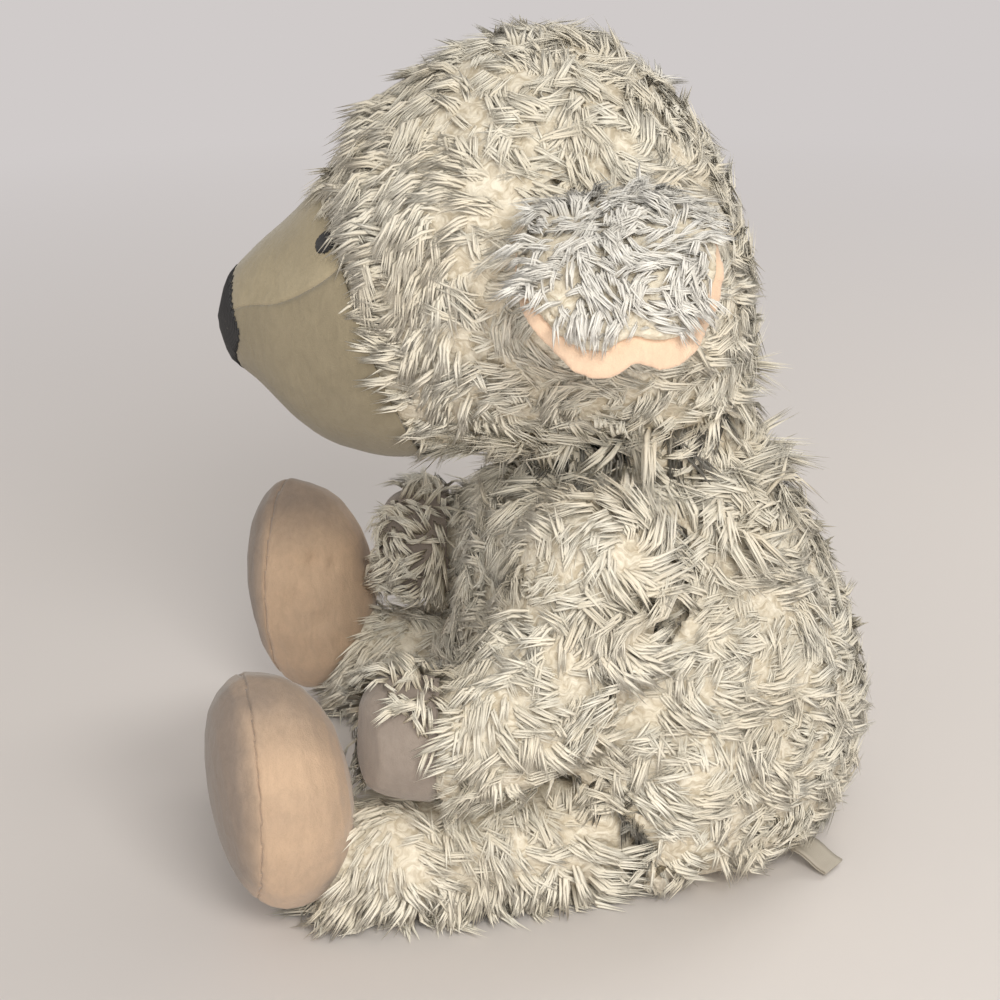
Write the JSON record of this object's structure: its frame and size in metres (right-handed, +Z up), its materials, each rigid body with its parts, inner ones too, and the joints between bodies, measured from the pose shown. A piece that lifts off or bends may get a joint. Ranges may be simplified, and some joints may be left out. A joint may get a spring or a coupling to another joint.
{
  "type": "plush sheep",
  "caption": "Seated stuffed sheep of curly plush with a smooth velour muzzle, drooping ears, hands and feet; head, ears, arms and legs pose a little.",
  "frame": {"origin": "middle of the flat face under the seat", "axes": "+Z up; the toy faces -Y and its left side is towards +X"},
  "size_m": [0.2536, 0.236, 0.2952],
  "materials": {
    "curly_plush": "long curly pile",
    "cream_velour": "short soft pile",
    "peach_velour": "short soft pile",
    "taupe_velour": "short soft pile",
    "stuffing": "loose fibre",
    "bag_cloth": "plain woven",
    "black_thread": "satin stitch",
    "ribbon": "satin ribbon"
  },
  "bodies": {
    "torso": {"torso_cover": "curly_plush", "torso_stuffing": "stuffing", "seat_pellet_bag": "bag_cloth", "care_label": "ribbon"},
    "neck": {"neck_stuffing": "stuffing"},
    "head": {"head_cover": "curly_plush", "head_stuffing": "stuffing", "muzzle_top_panel": "cream_velour", "muzzle_side_panel_left": "cream_velour", "muzzle_side_panel_right": "cream_velour", "nose_embroidery": "black_thread", "eye_embroidery_left": "black_thread", "eye_embroidery_right": "black_thread"},
    "ear_left": {"ear_back_left": "curly_plush", "ear_lining_left": "peach_velour"},
    "arm_left": {"arm_cover_left": "curly_plush", "arm_stuffing_left": "stuffing", "hand_left": "taupe_velour"},
    "leg_left": {"leg_cover_left": "curly_plush", "leg_stuffing_left": "stuffing", "foot_upper_left": "peach_velour", "foot_sole_left": "peach_velour"},
    "ear_right": {"ear_back_right": "curly_plush", "ear_lining_right": "peach_velour"},
    "arm_right": {"arm_cover_right": "curly_plush", "arm_stuffing_right": "stuffing", "hand_right": "taupe_velour"},
    "leg_right": {"leg_cover_right": "curly_plush", "leg_stuffing_right": "stuffing", "foot_upper_right": "peach_velour", "foot_sole_right": "peach_velour"}
  },
  "joints": [
    {"name": "neck_turn", "type": "hinge", "parent": "torso", "child": "neck", "pos_m": [0, 0.002, 0.142], "axis": [0, 0, 1], "range_deg": [-20, 20]},
    {"name": "head_nod", "type": "hinge", "parent": "neck", "child": "head", "pos_m": [0, 0.002, 0.142], "axis": [1, 0, 0], "range_deg": [-10, 7]},
    {"name": "ear_left_lift", "type": "hinge", "parent": "head", "child": "ear_left", "pos_m": [0.06691, -0.01852, 0.2509], "axis": [0.0691, -0.9879, -0.1392], "range_deg": [-12, 30]},
    {"name": "arm_left_open", "type": "hinge", "parent": "torso", "child": "arm_left", "pos_m": [0.06364, -0.02, 0.12539], "axis": [0, -0.9063, 0.4226], "range_deg": [0, 50]},
    {"name": "leg_left_splay", "type": "hinge", "parent": "torso", "child": "leg_left", "pos_m": [0.0602, -0.0224, 0.0235], "axis": [0, 0, 1], "range_deg": [-10, 8]},
    {"name": "ear_right_lift", "type": "hinge", "parent": "head", "child": "ear_right", "pos_m": [-0.06691, -0.01852, 0.2509], "axis": [0.0691, 0.9879, 0.1392], "range_deg": [-12, 30]},
    {"name": "arm_right_open", "type": "hinge", "parent": "torso", "child": "arm_right", "pos_m": [-0.06364, -0.02, 0.12539], "axis": [0, 0.9063, -0.4226], "range_deg": [0, 50]},
    {"name": "leg_right_splay", "type": "hinge", "parent": "torso", "child": "leg_right", "pos_m": [-0.0602, -0.0224, 0.0235], "axis": [0, 0, -1], "range_deg": [-10, 8]}
  ]
}
